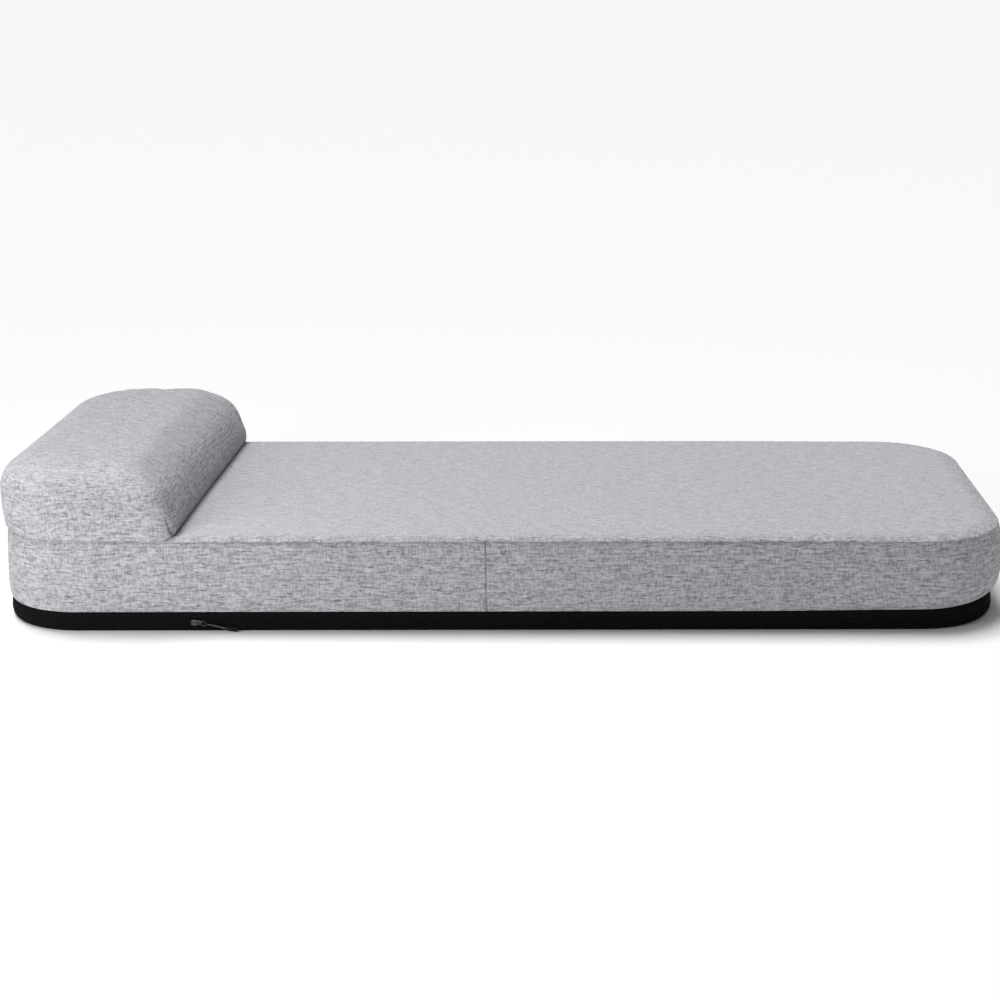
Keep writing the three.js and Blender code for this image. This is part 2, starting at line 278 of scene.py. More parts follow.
def makeBlackCloth():
    # ribbed black cloth: ribs run round the bed, with the odd paler thread
    ribs = {"pitch": 0.0036, "pale": 0.0100, "dark": 0.0042, "speck": (240, 900, 1), "fine": 3300,
            "bumpDepth": 0.0006}
    look = Look("blackRib", Roughness=0.9, Specular_IOR_Level=0.05)
    uv = look.cloth("weave")
    rib = (look.part(uv, "Y") * (2 * math.pi / ribs["pitch"])).sine() * 0.5 + 0.5
    speck = look.noise(look.stretched(uv, ribs["speck"]))
    fine = (look.part(uv, "X") * ribs["fine"]).sine() * 0.5 + 0.5
    color = look.mix(rib * 0.45 + speck * 0.55, grey(ribs["dark"]), grey(ribs["pale"]))
    return look.finish(color, Normal=look.bump(rib + speck * 0.6 + fine * 0.25, ribs["bumpDepth"], 0.6))


def makeZipTape():
    look = Look("zipTape", Specular_IOR_Level=0.12)
    weave = look.noise(look.stretched(look.place(), (1500, 1500, 500)))
    return look.finish(look.mix(weave, grey(0.003), grey(0.009)), Roughness=weave.ramp(0, 1, 0.5, 0.75),
                       Normal=look.bump(weave, 0.0003, 0.5))


def makeMetal(name, pale, dark, roughLow, roughHigh, grain):
    look = Look(name, Metallic=1.0)
    streak = look.noise(look.stretched(look.place(), grain), 1, 3.0)
    wear = look.noise(look.place(), 90, 3.0)
    return look.finish(look.mix(wear.ramp(0.35, 0.7), grey(dark), grey(pale)),
                       Roughness=streak.ramp(0.3, 0.7, roughLow, roughHigh),
                       Normal=look.bump(streak, 0.00005, 0.4))


def makePowderCoat():
    look = Look("powderCoat")
    peel = look.noise(look.place(), 900)
    wear = look.noise(look.place(), 18, 3.0)
    return look.finish(look.mix(wear.ramp(0.4, 0.65), grey(0.018), grey(0.035)),
                       Roughness=wear.ramp(0.3, 0.7, 0.38, 0.55), Normal=look.bump(peel, 0.0001, 0.4))


def makeFoam():
    look = Look("foam", Roughness=1.0)
    cells = look.add("TexVoronoi", {}, {"Vector": look.place(), "Scale": 420.0}, "Distance")
    age = look.noise(look.place(), 9, 3.0)
    color = look.mix(age.ramp(0.3, 0.7), (0.80, 0.75, 0.60, 1), (0.86, 0.83, 0.72, 1))
    # painted shade: the pit of each foam cell is darker
    color = look.mix(1 - cells.ramp(0.0, 0.35, 0.75, 1.0), color, (0.55, 0.50, 0.38, 1))
    return look.finish(color, Normal=look.bump(cells, 0.0008, 0.6))


def makeWebbing():
    look = Look("webbing", Roughness=0.9)
    x, y = look.part(look.place(), "X"), look.part(look.place(), "Y")
    weave = (x * 1800).sine() * (y * 1800).sine() * 0.5 + 0.5
    color = look.mix((y * 300).sine().ramp(0.6, 0.8), grey(0.03), grey(0.12))
    return look.finish(color, Normal=look.bump(weave, 0.0004, 0.6))


def makeCordCloth():
    # plaited black cord with a pale stitching thread
    look = Look("pullCord", Roughness=0.8, Specular_IOR_Level=0.2)
    strand = look.noise(look.stretched(look.place(), (700, 700, 1400)))
    color = look.mix(strand, grey(0.004), grey(0.016))
    color = look.mix(look.value("stitch"), color, grey(0.34))
    return look.finish(color, Normal=look.bump(strand, 0.0003, 0.5))


def meshFrom(name, points, faces, material):
    mesh = bpy.data.meshes.new(name)
    mesh.from_pydata(points.tolist(), [], faces)
    mesh.polygons.foreach_set("use_smooth", np.ones(len(mesh.polygons), bool))
    piece = bpy.data.objects.new(name, mesh)
    bpy.context.collection.objects.link(piece)
    mesh.materials.append(material)
    return piece


def ringFaces(around, rows, closed=False):
    # quads between rows of points that each go once round; they face out when the rows climb
    i = np.arange(around)
    j = np.arange(rows if closed else rows - 1)[:, None]
    low, high = j * around, (j + 1) % rows * around
    following = (i + 1) % around
    return np.stack([low + i, low + following, high + following, high + i], -1).reshape(-1, 4).tolist()


def setAttribute(piece, name, values):
    attribute = piece.data.attributes.new(name, "FLOAT", "POINT")
    attribute.data.foreach_set("value", np.asarray(values, np.float32).ravel())


def setWeave(piece, name, u, v, wrap=0.0):
    # cloth coordinates from values at the points; wrap is the length after which u starts again
    mesh = piece.data
    corner = np.empty(len(mesh.loops), int)
    mesh.loops.foreach_get("vertex_index", corner)
    uv = np.stack([np.ravel(u)[corner], np.ravel(v)[corner]], -1)
    if wrap:
        quads = uv[:, 0].reshape(-1, 4)
        late = quads.max(1, keepdims=True) - quads > wrap / 2
        uv[:, 0] += (late * wrap).ravel()
    mesh.uv_layers.new(name=name).data.foreach_set("uv", uv.ravel())


def coords(piece, what="co"):
    flat = np.empty(len(piece.data.vertices) * 3)
    piece.data.vertices.foreach_get(what, flat)
    return flat.reshape(-1, 3)


def smoothStep(t, low, high):
    # 0 below low, 1 above high and a smooth S between
    t = np.clip((t - low) / (high - low), 0, 1)
    return t * t * (3 - 2 * t)


def weld(piece, distance=1e-5):
    work = bmesh.new()
    work.from_mesh(piece.data)
    bmesh.ops.remove_doubles(work, verts=work.verts, dist=distance)
    work.to_mesh(piece.data)
    work.free()


def applyModifiers(piece):
    # the mesh as its modifiers leave it takes the place of the piece's own
    graph = bpy.context.evaluated_depsgraph_get()
    mesh = bpy.data.meshes.new_from_object(piece.evaluated_get(graph))
    piece.modifiers.clear()
    old = piece.data
    piece.data = mesh
    bpy.data.meshes.remove(old)


def straightRun(a, b, fineAt, coarse=0.0065, fine=0.0009, reach=0.011):
    # places from a to b (b left out), close together near fineAt
    low, high = sorted((a, b))
    near = np.arange(fineAt - reach, fineAt + reach, fine)
    left = np.linspace(low, near[0], int((near[0] - low) / coarse), endpoint=False)
    right = np.linspace(near[-1], high, int((high - near[-1]) / coarse) + 1)[1:]
    run = np.concatenate([left, near, right])
    return run[:-1] if a < b else run[::-1][:-1]


def bedOutline():
    # once round the footprint, anticlockwise from the head end of the front side:
    # points, outward normals, the length so far and the whole length
    r, halfWidth, headX, footX = bed["cornerRadius"], bed["halfWidth"], bed["headX"], bed["footX"]
    angle = np.linspace(0, math.pi / 2, 48, endpoint=False)
    across = np.linspace(-halfWidth + r, halfWidth - r, 72, endpoint=False)
    pieces, normals = [], []

    def run(x, y, nx, ny):
        x, y, nx, ny = np.broadcast_arrays(x, y, nx, ny)
        pieces.append(np.stack([x, y], -1))
        normals.append(np.stack([nx, ny], -1))

    def corner(cx, cy, start):
        n = np.stack([np.cos(angle + start), np.sin(angle + start)], -1)
        pieces.append(np.array([cx, cy]) + r * n)
        normals.append(n)

    run(straightRun(headX + r, footX - r, bed["foldX"]), -halfWidth, 0.0, -1.0)
    corner(footX - r, -halfWidth + r, -math.pi / 2)
    run(footX, across, 1.0, 0.0)
    corner(footX - r, halfWidth - r, 0)
    run(straightRun(footX - r, headX + r, bed["foldX"]), halfWidth, 0.0, 1.0)
    corner(headX + r, halfWidth - r, math.pi / 2)
    run(headX, -across, -1.0, 0.0)
    corner(headX + r, -halfWidth + r, math.pi)
    points, normal = np.concatenate(pieces), np.concatenate(normals)
    step = np.linalg.norm(np.roll(points, -1, 0) - points, axis=1)
    return points, normal, np.concatenate([[0], np.cumsum(step)[:-1]]), step.sum()


outline, outward, along, around = bedOutline()
turned = smoothStep(np.abs(outward[:, 0]), 0.05, 0.75)     # 0 on the long sides, 1 on the ends
footness = (smoothStep(outline[:, 0], 0.62, 0.88) * turned     # 1 at the foot end
            + smoothStep(outline[:, 0], 0.45, 0.85) * (1 - turned))
headness = smoothStep(-outline[:, 0], 0.80, 0.94) * turned     # 1 at the head end
# how far the stuffing pushes the cover out at the foot end
footOut = footness * (0.006 + 0.006 * turned)
# how far a place on a long side is from the fold; elsewhere a metre
foldAway = np.where(np.abs(outward[:, 1]) > 0.99, outline[:, 0] - bed["foldX"], 1.0)

# where the band and the top panel meet: how far in the seam lies, by end, and the share of footOut it gets;
# dark is the painted shade in the seam's crease, footFade how much of it fades at the foot end
edgeSeam = {"tuck": 0.0024, "footTuck": 0.0008, "headLean": 0.0050, "footShare": 0.35, "dark": 0.20,
            "footFade": 0.95}


def waves(place, total, lengths, seed):
    # a sum of sines that repeats once round, with seeded phases and strengths
    rng = np.random.default_rng(seed)
    value = np.zeros_like(place)
    for length in lengths:
        turns = max(1, round(total / length))
        value += rng.uniform(0.6, 1) * np.sin(2 * math.pi * turns * place / total + rng.uniform(0, 6.28))
    return value / math.sqrt(len(lengths))


def puckers(seed):
    # gathers along a sewn seam: short waves that come and go
    short = waves(along, around, (0.011, 0.0145, 0.019, 0.026), seed)
    swell = waves(along, around, (0.08, 0.13, 0.21), seed + 1)
    return short * np.clip(0.55 + 0.35 * swell, 0.1, 1.2)


def sewnShade():
    # how dark the painted shade in the seam's crease is, point by point, in dashes; it fades out at the foot
    # end
    dashes = np.clip(0.5 + 0.5 * waves(along, around, (0.007, 0.009, 0.013, 0.05), 3), 0, 1)
    return edgeSeam["dark"] * dashes * (1 - edgeSeam["footFade"] * footness)


def rings(insets, heights):
    # points at each row's inset and height; either may vary round the outline
    insets = np.broadcast_to(np.asarray(insets, float), (len(heights), len(outline)))
    heights = np.broadcast_to(np.asarray(heights, float), insets.shape)
    return np.concatenate([outline[None] - insets[..., None] * outward[None], heights[..., None]], -1)


def makeSideBand(material):
    # inset at a height = tucks that fade away from both seams - a swell that is fullest at mid-height,
    # with slow waves, gathers by the seams and a pressed-in seam at the fold
    band = {"rows": 34, "lowTuck": 0.0040, "footTuck": 0.0075, "lowReach": 0.011, "footReach": 0.003,
            "topTuck": 0.0022, "topReach": 0.003, "shoulder": 0.0035, "shoulderReach": 0.017,
            "footFirm": 0.85, "bulgeReach": 0.018, "swell": 0.0014, "wave": 0.0011, "pucker": 0.0010,
            "topGather": 0.016, "lowGather": 0.014, "groove": 0.0022, "grooveWidth": 0.0020,
            "lap": 0.0012, "lapPlace": 0.004, "lapWidth": 0.006, "flap": 0.010, "paintedGrooveShade": 0.40,
            "grooveShade": 0.0013}
    low, seam = bed["bandLow"] - 0.001, bed["seam"] - 0.0004
    t = 0.5 - 0.5 * np.cos(math.pi * np.linspace(0, 1, band["rows"]))[:, None]
    height = low + (seam - low) * t
    fromLow, fromTop = height - low, seam - height
    lowReach = band["lowReach"] + band["footReach"] * footness
    inset = (band["lowTuck"] + band["footTuck"] * footness) * np.exp(-fromLow / lowReach)
    inset = inset + (band["topTuck"] * np.exp(-fromTop / band["topReach"])
                     + band["shoulder"] * np.exp(-fromTop / band["shoulderReach"])
                     ) * (1 - band["footFirm"] * footness)
    inset = inset - band["swell"] * np.sin(math.pi * t ** 0.85) ** 0.8
    drawnIn = (1 - edgeSeam["footShare"]) * smoothStep(t, 0.70, 1.0)
    inset = inset - footOut * (1 - np.exp(-fromLow / band["bulgeReach"])) * (1 - drawnIn)
    inset = inset + edgeSeam["headLean"] * headness * t
    slow, tilt = waves(along, around, (0.9, 0.42, 0.23, 0.16), 5), waves(along, around, (0.7, 0.31, 0.19), 8)
    inset = inset - band["wave"] * np.sin(math.pi * t) * (slow + tilt * np.cos(math.pi * t)) * (1 + footness)
    inset = inset + band["pucker"] * puckers(21) * np.exp(-fromTop / band["topGather"])
    inset = inset + 0.5 * band["pucker"] * puckers(33) * np.exp(-fromLow / band["lowGather"])
    inset = inset + band["groove"] * np.exp(-(foldAway / band["grooveWidth"]) ** 2)
    # the turned-in edge of the upright seam stands proud on the foot side of its groove
    lap = band["lap"] * np.exp(-np.abs(foldAway - band["lapPlace"]) / band["lapWidth"])
    inset = inset - lap * (foldAway > 0)
    # flaps that lie inside, under the panel and behind the base
    profile = np.concatenate([inset[:1] + band["flap"], inset, inset[-1:] + band["flap"]])
    heights = np.concatenate([[[low + 0.001]], height, [[seam - 0.0004]]])
    points = rings(profile, heights).reshape(-1, 3)
    piece = meshFrom("sideBand", points, ringFaces(len(outline), len(profile)), material)
    u, v = np.broadcast_to(along, profile.shape), np.broadcast_to(heights, profile.shape)
    setWeave(piece, "weave", u, v, around)
    setWeave(piece, "weaveEnd", u, v, around)
    # painted shade: the groove of the upright seam at the fold and the crease along the top seam are darkened
    groove = band["paintedGrooveShade"] * np.exp(-(foldAway / band["grooveShade"]) ** 2)
    shade = np.broadcast_to(groove, profile.shape).copy()
    sewn = sewnShade()
    shade[-3:] = np.maximum(shade[-3:], sewn)
    shade[-4] = np.maximum(shade[-4], 0.4 * sewn)
    setAttribute(piece, "seamShade", shade)
    setAttribute(piece, "facesUp", np.zeros(shade.size))
    setAttribute(piece, "facesEnd", np.zeros(shade.size))
    return piece


def makeTopPanel(material):
    # height = seam + a quick rise at the rounded edge + a slow crown, both by distance in from the edge,
    # then straight rows in to the bed's middle line
    panel = {"flap": 0.010, "edgeRise": 0.0062, "edgeReach": 0.016, "footReach": 1.2, "crownReach": 0.045,
             "pucker": 0.0011, "puckerReach": 0.016, "softFoot": 0.7, "softReach": 0.05, "foldCreaseShade": 0.22,
             "paintedCreaseShade": 0.35, "creaseWidth": 0.006, "waveHigh": 0.0013, "waveLow": 0.0008}
    tuck = edgeSeam["tuck"] * (1 - footness) + edgeSeam["footTuck"] * footness
    tuck = tuck - edgeSeam["footShare"] * footOut + edgeSeam["headLean"] * headness
    # distances in from the edge; the first row is the flap that lies inside
    edge = np.array([0.0, 0.0, 0.0004, 0.0011, 0.0022, 0.0038, 0.006, 0.009, 0.013, 0.018, 0.024, 0.032,
                     0.042, 0.055, 0.072, 0.095, 0.125, 0.152])[:, None]
    depth = edge * (1 + panel["softFoot"] * footness * np.exp(-edge / panel["softReach"])) + tuck
    rise = bed["top"] - bed["seam"]
    reach = panel["edgeReach"] * (1 + panel["footReach"] * footness)
    quick = panel["edgeRise"] * np.sqrt(1 - (1 - np.clip(edge / reach, 0, 1)) ** 2)
    slow = (rise - panel["edgeRise"]) * (1 - np.exp(-edge / panel["crownReach"]))
    heights = bed["seam"] + quick + slow
    heights = heights + panel["pucker"] * puckers(47) * np.exp(-edge / panel["puckerReach"]) * (edge > 0.0003)
    depth = np.broadcast_to(depth, (len(edge), len(outline))).copy()
    depth[0] += panel["flap"]
    heights = np.broadcast_to(heights, depth.shape).copy()
    heights[0] = bed["seam"] - 0.0002
    outer = rings(depth, heights)
    share = np.linspace(0, 1, 11)[1:, None]
    last = outer[-1]
    spineEnd = bed["halfWidth"] - 0.02
    spineX = np.clip(last[:, 0], bed["headX"] + spineEnd, bed["footX"] - spineEnd)
    inner = np.stack([last[:, 0] * (1 - share) + spineX * share, last[:, 1] * (1 - share),
                      np.broadcast_to(last[:, 2], (len(share), len(outline)))], -1)
    points = np.concatenate([outer, inner])
    x, y = points[..., 0], points[..., 1]
    soft = smoothStep(np.minimum(bed["halfWidth"] - np.abs(y), bed["footX"] - x), 0.02, 0.20)
    points[..., 2] += soft * (panel["waveHigh"] * np.sin(x * 7.1 + 1.0) * np.cos(y * 9.3)
                              + panel["waveLow"] * np.sin(x * 17 + y * 11))
    piece = meshFrom("topPanel", points.reshape(-1, 3), ringFaces(len(outline), len(points)), material)
    setWeave(piece, "weave", x, y)
    setWeave(piece, "weaveEnd", y, x)
    # painted shade along the seam's crease at the panel's edge
    shade = np.zeros(points.shape[:2])
    sewn = sewnShade()
    shade[:3] = sewn
    shade[3] = 0.4 * sewn
    # painted shade of a small crease over the side seam: a second short dark line
    shade[4:6] = panel["foldCreaseShade"] * np.exp(-((foldAway - 0.006) / 0.012) ** 4)
    # painted shade in the crease where the bolster stands on the panel
    crease = np.exp(-((x - bed["bolsterX"] - 0.004) / panel["creaseWidth"]) ** 2)
    crease = crease * (np.abs(y) < bed["halfWidth"] - 0.02)
    setAttribute(piece, "seamShade", np.maximum(shade, panel["paintedCreaseShade"] * crease))
    # the flat top takes the painted lighter tone of faces that look up
    up = np.broadcast_to(smoothStep(edge, 0.002, 0.03), depth.shape)
    setAttribute(piece, "facesUp", np.concatenate([up, np.ones(inner.shape[:2])]))
    setAttribute(piece, "facesEnd", np.zeros(shade.size))
    weld(piece)
    return piece


def makeBase(material):
    # the black underside: a profile from inside its top edge, down and round under to the middle line;
    # each row is height, inset on the long sides, inset on the ends and corners
    flat = bed["baseInset"]
    profile = np.array([
        (0.0400, flat + 0.020, 0.0300), (0.0398, flat + 0.0025, 0.0115), (0.0385, flat + 0.0010, 0.0090),
        (0.0360, flat + 0.0002, 0.0068), (0.0320, flat, 0.0048), (0.0280, flat, 0.0036),
        (0.0262, flat + 0.0001, 0.0034), (0.0256, flat + 0.0012, 0.0042), (0.0228, flat + 0.0012, 0.0040),
        (0.0200, flat + 0.0012, 0.0038), (0.0154, flat + 0.0012, 0.0036), (0.0110, flat + 0.0012, 0.0038),
        (0.0084, flat + 0.0012, 0.0044), (0.0078, flat + 0.0001, 0.0036), (0.0058, flat + 0.0002, 0.0048),
        (0.0036, flat + 0.0006, 0.0062), (0.0018, flat + 0.0014, 0.0082), (0.0006, flat + 0.0030, 0.0110),
        (0.0, flat + 0.0060, 0.0150), (0.0, 0.030, 0.030), (0.0, 0.080, 0.080), (0.0, 0.150, 0.150)])[::-1]
    z, sides, ends = profile.T[:, :, None]
    inset = sides * (1 - turned) + ends * turned
    points = rings(inset, z)
    spine = points[0].copy()
    spineEnd = bed["halfWidth"] - 0.02
    spine[:, 0] = np.clip(spine[:, 0], bed["headX"] + spineEnd, bed["footX"] - spineEnd)
    spine[:, 1] = 0
    share = np.linspace(1, 0, 6)[:-1, None, None]
    points = np.concatenate([points[0] * (1 - share) + spine * share, points])
    piece = meshFrom("blackBase", points.reshape(-1, 3), ringFaces(len(outline), len(points)), material)
    step = np.linalg.norm(np.diff(points[:, 0], axis=0), axis=1)
    run = np.broadcast_to(np.concatenate([[0], np.cumsum(step)])[:, None], points.shape[:2])
    setWeave(piece, "weave", np.broadcast_to(along, run.shape), run, around)
    weld(piece)
    return piece


def makeFoamBody(material):
    # the stuffing inside the cover: the footprint drawn in, with rounded edges
    foam = {"inset": 0.016, "round": 0.014, "low": 0.046, "top": 0.168, "spineEnd": 0.060}
    turn = np.linspace(0, math.pi / 2, 5)
    down = foam["low"] + foam["round"] * (1 - np.sin(turn))
    up = foam["top"] - foam["round"] * (1 - np.cos(turn))
    heights = np.concatenate([down[::-1], up[::-1]])
    away = foam["round"] * np.concatenate([1 - np.cos(turn[::-1]), 1 - np.sin(turn[::-1])])
    insets = foam["inset"] + away
    order = np.argsort(heights, kind="stable")
    points = rings(insets[order][:, None], heights[order][:, None])

    def lid(row):
        spineEnd = bed["halfWidth"] - foam["spineEnd"]
        spine = row * np.array([1, 0, 1])
        spine[:, 0] = np.clip(spine[:, 0], bed["headX"] + spineEnd, bed["footX"] - spineEnd)
        share = np.linspace(0, 1, 5)[1:, None, None]
        return row * (1 - share) + spine * share

    points = np.concatenate([lid(points[0])[::-1], points, lid(points[-1])])
    piece = meshFrom("mattressFoam", points.reshape(-1, 3), ringFaces(len(outline), len(points)), material)
    weld(piece)
    return piece


def loop(x0, x1, y0, y1, headRadius, faceRadius, counts):
    # a rounded rectangle with the same number of points whatever its size, anticlockwise from its front side
    longSide, shortSide, bend = counts
    angle = np.linspace(0, math.pi / 2, bend, endpoint=False)

    def side(ax, ay, bx, by, count):
        t = np.linspace(0, 1, count, endpoint=False)
        return np.stack([ax + (bx - ax) * t, ay + (by - ay) * t], -1)

    def corner(cx, cy, r, start):
        return np.stack([cx + r * np.cos(angle + start), cy + r * np.sin(angle + start)], -1)

    h, f = headRadius, faceRadius
    return np.concatenate([
        side(x0 + h, y0, x1 - f, y0, longSide), corner(x1 - f, y0 + f, f, -math.pi / 2),
        side(x1, y0 + f, x1, y1 - f, shortSide), corner(x1 - f, y1 - f, f, 0),
        side(x1 - f, y1, x0 + h, y1, longSide), corner(x0 + h, y1 - h, h, math.pi / 2),
        side(x0, y1 - h, x0, y0 + h, shortSide), corner(x0 + h, y0 + h, h, math.pi)])


def makeBolster(material):
    # a loaf: walls that swell out of the seam, then a quarter ellipse on each side with its own reach in
    # and reach down, then a low crown over the top; blown up a little like a stuffed cover
    loaf = {"headIn": 0.064, "faceIn": 0.106, "sideIn": 0.055, "headDown": 0.0600, "faceDown": 0.084,
            "sideDown": 0.052, "headSwell": 0.0075, "faceSwell": 0.0080, "sideSwell": 0.0030,
            "headCorner": 0.160, "headCornerLoss": 0.075, "faceCorner": 0.040, "faceCornerGain": 0.026,
            "lowCorner": 0.4, "shrink": 0.0030, "headShrink": 0.0010, "sink": 0.012, "crown": 0.002,
            "crownEnd": 0.16, "voxel": 0.0058, "relax": 6, "pressure": 4.0, "cap": 0.0040, "frames": 20}
    counts = (40, 84, 26)
    s = loaf["shrink"]
    x0, x1, y1 = bed["headX"] + s + loaf["headShrink"], bed["bolsterX"] - s, bed["halfWidth"] - s
    low, top = bed["seam"] + 0.0006, bed["bolsterTop"] - s - loaf["crown"] + 0.001

    def perSide(front, face, rear, head):
        # a value for every point of the loop, eased round the corners
        longSide, shortSide, bend = counts
        ease = smoothStep(np.arange(bend) / bend, 0, 1)
        values = [front, face, rear, head]
        run = []
        for k, count in enumerate((longSide, shortSide, longSide, shortSide)):
            run.append(np.full(count, values[k]))
            run.append(values[k] + (values[(k + 1) % 4] - values[k]) * ease)
        return np.concatenate(run)

    down = perSide(loaf["sideDown"], loaf["faceDown"], loaf["sideDown"], loaf["headDown"])

    def plan(swell, inward, corner=1.0):
        # the loop drawn out by the swell shares (head, face, side) and in by a share of each side's reach
        head, face, side = swell
        return loop(x0 - loaf["headSwell"] * head + loaf["headIn"] * inward,
                    x1 + loaf["faceSwell"] * face - loaf["faceIn"] * inward,
                    -y1 - loaf["sideSwell"] * side + loaf["sideIn"] * inward,
                    y1 + loaf["sideSwell"] * side - loaf["sideIn"] * inward,
                    loaf["headCorner"] - loaf["headCornerLoss"] * inward,
                    loaf["faceCorner"] * corner + loaf["faceCornerGain"] * inward, counts)

    rows = []
    foot = plan((0, 0, 0), 0, loaf["lowCorner"])
    centre = np.array([(x0 + x1) / 2, 0])
    sunk = low - loaf["sink"]
    for share in (0.1, 0.3, 0.5, 0.7, 0.9, 0.955):
        rows.append(np.column_stack([centre + (foot - centre) * share, np.full(len(foot), sunk)]))
    for t in np.linspace(0, 1, 14):
        swell = (math.sin(math.pi / 2 * t), 0.35 * t + 0.9 * math.sin(math.pi * t ** 0.8),
                 math.sin(math.pi * 0.6 * t))
        corner = loaf["lowCorner"] + (1 - loaf["lowCorner"]) * t
        rows.append(np.column_stack([plan(swell, 0, corner), low + (top - down - low) * t]))
    for phi in np.linspace(0, math.pi / 2, 16)[1:]:
        inward = 1 - math.cos(phi)
        swell = (1 - 0.5 * inward, 0.35, 0.95)
        rows.append(np.column_stack([plan(swell, inward), top - down * (1 - math.sin(phi))]))
    last = rows[-1]
    spine = np.column_stack([np.full(len(last), (last[:, 0].min() + last[:, 0].max()) / 2),
                             np.clip(last[:, 1], -y1 + loaf["crownEnd"], y1 - loaf["crownEnd"]),
                             last[:, 2] + loaf["crown"]])
    for share in np.linspace(0, 1, 9)[1:]:
        lift = np.array([share, share, 1 - (1 - share) ** 2])
        rows.append(last + (spine - last) * lift)
    points = np.array(rows)
    under = [list(range(len(foot)))[::-1]]
    piece = meshFrom("bolster", points.reshape(-1, 3), ringFaces(len(foot), len(points)) + under, material)
    weld(piece)
    even = piece.modifiers.new("even", "REMESH")
    even.mode = "VOXEL"
    even.voxel_size = loaf["voxel"]
    applyModifiers(piece)
    fillCover(piece, loaf, low)
    relax = piece.modifiers.new("relax", "SMOOTH")
    relax.factor = 0.5
    relax.iterations = loaf["relax"]
    smooth = piece.modifiers.new("smooth", "SUBSURF")
    smooth.levels = 1
    smooth.render_levels = 1
    applyModifiers(piece)
    piece.data.polygons.foreach_set("use_smooth", np.ones(len(piece.data.polygons), bool))
    dressBolster(piece, foot)
    return piece


def fillCover(piece, recipe, low):
    # blow the cover up with its sewn edge held, and cap how far a point may move
    before = coords(piece)
    held = piece.vertex_groups.new(name="held")
    held.add(np.flatnonzero(before[:, 2] < low + 0.004).tolist(), 1.0, "REPLACE")
    cloth = piece.modifiers.new("cloth", "CLOTH")
    cloth.settings.vertex_group_mass = "held"
    cloth.settings.use_pressure = True
    cloth.settings.uniform_pressure_force = recipe["pressure"]
    cloth.settings.effector_weights.gravity = 0
    cloth.settings.quality = 4
    cloth.collision_settings.use_collision = False
    for number in range(1, recipe["frames"] + 1):
        bpy.context.scene.frame_set(number)
    applyModifiers(piece)
    bpy.context.scene.frame_set(1)
    move = coords(piece) - before
    length = np.linalg.norm(move, axis=1, keepdims=True)
    move *= recipe["cap"] * np.tanh(length / recipe["cap"]) / np.maximum(length, 1e-9)
    piece.data.vertices.foreach_set("co", (before + move).ravel())
    piece.data.update()
    print("bolster filled: moved up to", round(float(length.max()), 4), "m before the cap")


def dressBolster(piece, foot):
    # gathers above the sewn edge, the short seam at each lower corner of the face, and the cloth coordinates;
    # painted shade along the sewn edge, in the corner seams and in the crease on the panel
    dress = {"gather": 0.0008, "gatherReach": 0.018, "edgeDepth": 0.0012, "edgeReach": 0.0022,
             "seamDepth": 0.0018, "seamWidth": 0.0020, "lean": 0.28, "cornerSeamShade": 0.60, "paintedEdgeShade": 0.45,
             "paintedCreaseShade": 0.6, "upShare": 0.5}
    points, normal = coords(piece), coords(piece, "normal")
    x, y, z = points.T
    height = np.maximum(z - bed["seam"], 0)
    turn = np.arctan2(y, x - bed["headX"] - 0.17) * 0.62
    gather = sum(np.sin(turn * k + p) for k, p in ((61, 0.4), (83, 1.7), (117, 2.9), (37, 4.2))) / 2
    gather *= 1 - 0.8 * smoothStep(x, bed["bolsterX"] - 0.05, bed["bolsterX"] - 0.01)
    fade = np.exp(-height / dress["gatherReach"]) * smoothStep(height, 0.000, 0.004)
    push = dress["gather"] * gather * fade
    push -= dress["edgeDepth"] * np.exp(-height / dress["edgeReach"])
    # painted shade along the sewn edge where the bolster stands on the panel
    shade = dress["paintedEdgeShade"] * np.exp(-((height - 0.0006) / 0.0016) ** 2)
    # the short corner seam: a small dent with painted shade in it
    lineX = bed["bolsterX"] + 0.002 - dress["lean"] * height
    mark = np.exp(-((x - lineX) / dress["seamWidth"]) ** 2)
    mark = mark * (np.abs(y) > 0.25) * smoothStep(height, 0.048, 0.026)
    push -= dress["seamDepth"] * mark
    shade = np.maximum(shade, dress["cornerSeamShade"] * mark)
    # painted shade in the crease where the bolster's face meets the panel
    crease = np.exp(-((z - bed["top"] - 0.0008) / 0.0018) ** 2) * (x > bed["bolsterX"] - 0.04)
    shade = np.maximum(shade, dress["paintedCreaseShade"] * crease * (np.abs(y) < bed["halfWidth"] - 0.03))
    piece.data.vertices.foreach_set("co", (points + push[:, None] * normal * (height > 0)[:, None]).ravel())
    piece.data.update()
    setAttribute(piece, "seamShade", shade)
    # painted light: faces of the bolster that look up get part of the lighter tone
    setAttribute(piece, "facesUp", dress["upShare"] * smoothStep(normal[:, 2], 0.35, 0.9))
    # over the front, top and rear the cloth lies along X; round the corners and ends, along the outline
    level = np.hypot(normal[:, 0], normal[:, 1])
    sideways = smoothStep(np.abs(normal[:, 0]) / np.maximum(level, 1e-6), 0.25, 0.50)
    setAttribute(piece, "facesEnd", sideways * (1 - smoothStep(normal[:, 2], 0.70, 0.85)))
    setWeave(piece, "weave", x, z + y)
    setWeave(piece, "weaveEnd", alongOutline(foot, x, y), z - bed["halfWidth"])


def alongOutline(outlinePoints, x, y):
    # how far round the closed outline each place lies: the nearest outline point, corrected along its tangent
    step = np.roll(outlinePoints, -1, 0) - outlinePoints
    size = np.linalg.norm(step, axis=1)
    far = np.concatenate([[0], np.cumsum(size)[:-1]]) + outlinePoints[0, 0]
    tangent = step / size[:, None]
    result = np.empty(len(x))
    for part in np.array_split(np.arange(len(x)), len(x) // 4000 + 1):
        away = np.stack([x[part], y[part]], -1)[:, None] - outlinePoints[None]
        near = np.argmin((away ** 2).sum(-1), axis=1)
        result[part] = far[near] + (away[np.arange(len(part)), near] * tangent[near]).sum(-1)
    return result


